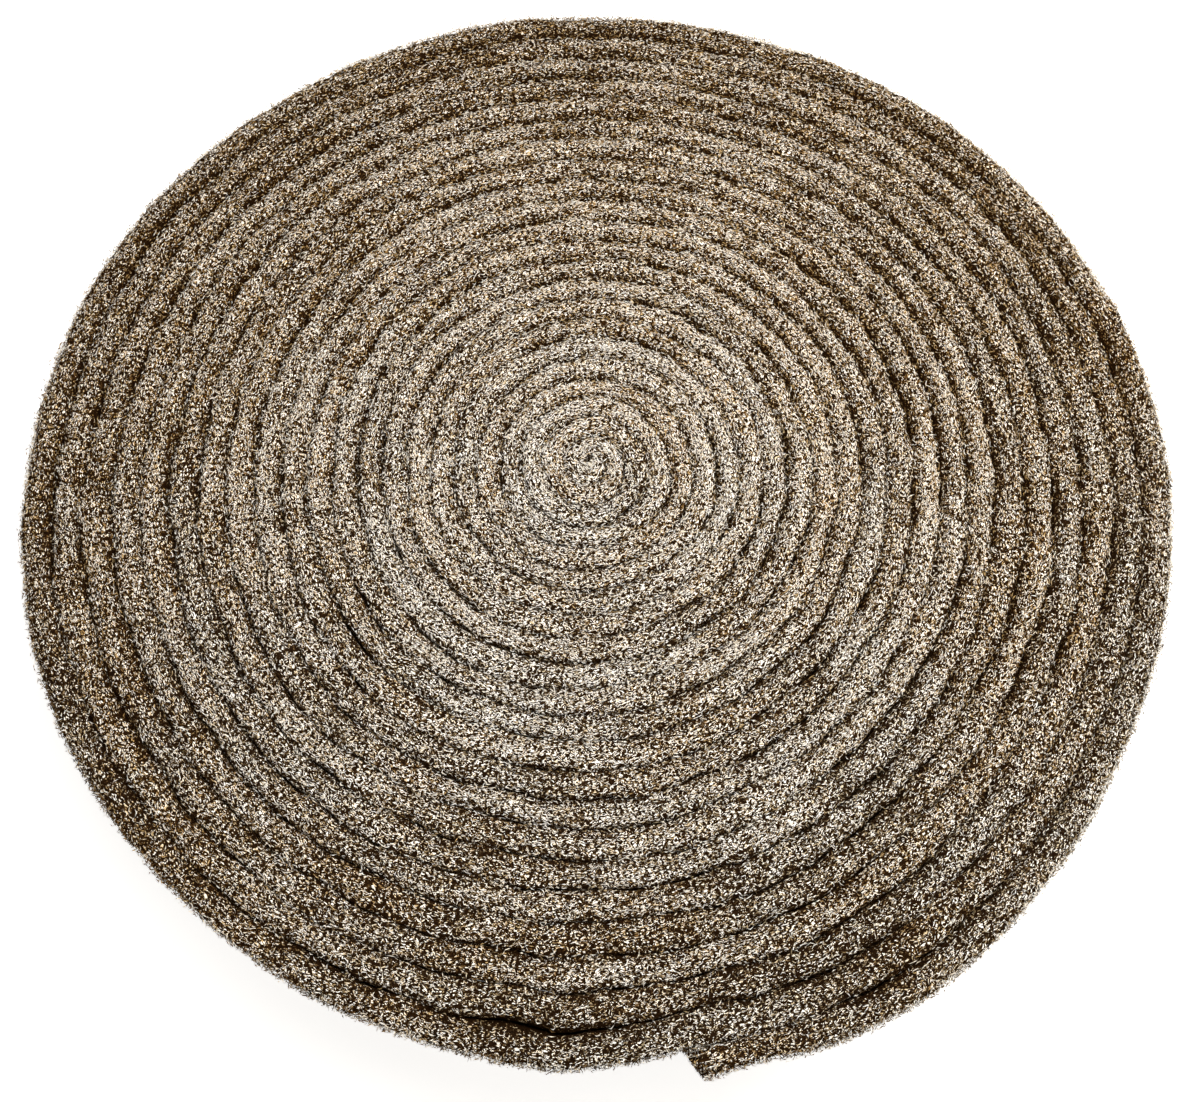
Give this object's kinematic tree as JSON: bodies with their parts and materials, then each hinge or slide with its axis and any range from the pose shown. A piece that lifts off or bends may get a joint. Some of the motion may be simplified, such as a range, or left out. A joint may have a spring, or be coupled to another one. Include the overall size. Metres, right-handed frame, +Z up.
{
  "type": "non-woven abrasive roll",
  "caption": "Flat-lying roll of lofty non-woven abrasive web: one strip wound in a tight spiral with a cut free end, torn or cut into pads for scouring and surface finishing.",
  "frame": {"origin": "middle of the roll's plan outline, on the surface it lies on", "axes": "+Z up along the winding axis, +X to the right and +Y away from the viewer as pictured"},
  "size_m": [0.299, 0.2982, 0.1],
  "materials": {
    "abrasive_web": "rough open fibre, tan brown with cream glints"
  },
  "bodies": {
    "root": {"abrasive_roll": "abrasive_web"}
  },
  "joints": []
}
